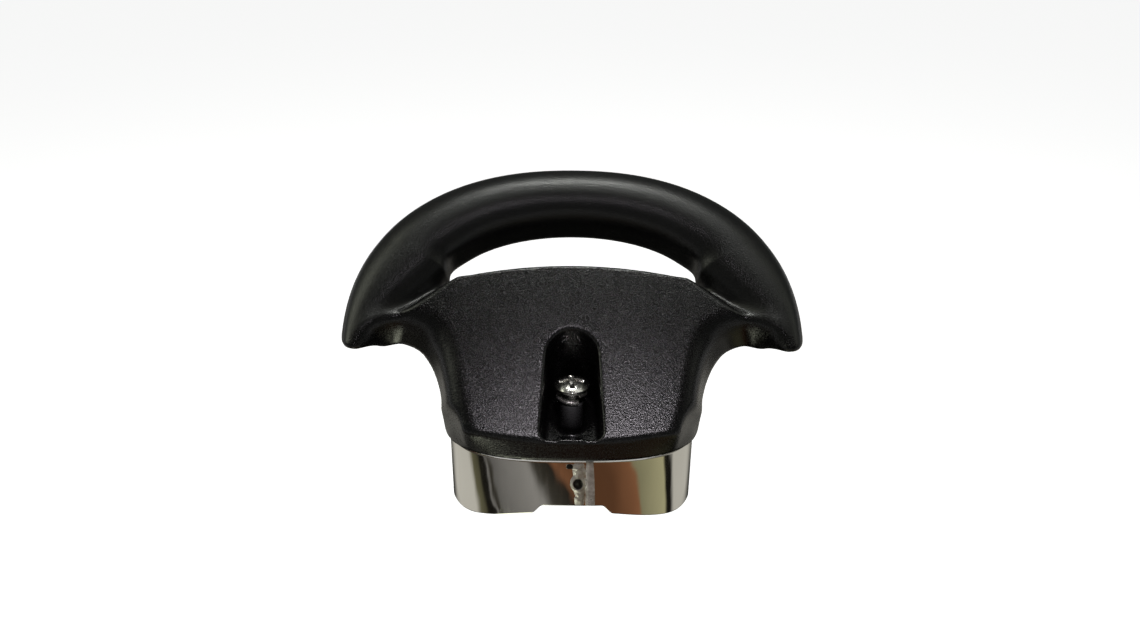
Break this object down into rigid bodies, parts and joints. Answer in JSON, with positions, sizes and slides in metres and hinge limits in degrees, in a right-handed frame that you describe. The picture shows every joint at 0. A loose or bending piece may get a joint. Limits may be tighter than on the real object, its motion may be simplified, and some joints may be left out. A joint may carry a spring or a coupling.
{
  "type": "pressure cooker side handle",
  "caption": "Black moulded side handle with a crescent grip, a sloping shield panel, a screw pocket and a polished steel flame guard sleeve.",
  "frame": {"origin": "where the axis of the flame guard sleeve and of the screw meets the pot's wall", "axes": "+Z along the sleeve, away from the pot; +X across the handle from horn to horn; the panel with the screw pocket faces -Y and +Z"},
  "size_m": [0.1266, 0.0726, 0.0787],
  "materials": {
    "moulding": "fine grained black moulding",
    "guard_steel": "mirror polished stainless steel",
    "screw_steel": "bright plated steel",
    "washer_steel": "plated steel"
  },
  "bodies": {
    "root": {"handle_body": "moulding", "flame_guard": "guard_steel", "screw": "screw_steel", "spring_washer": "washer_steel", "flat_washer": "washer_steel"}
  },
  "joints": []
}
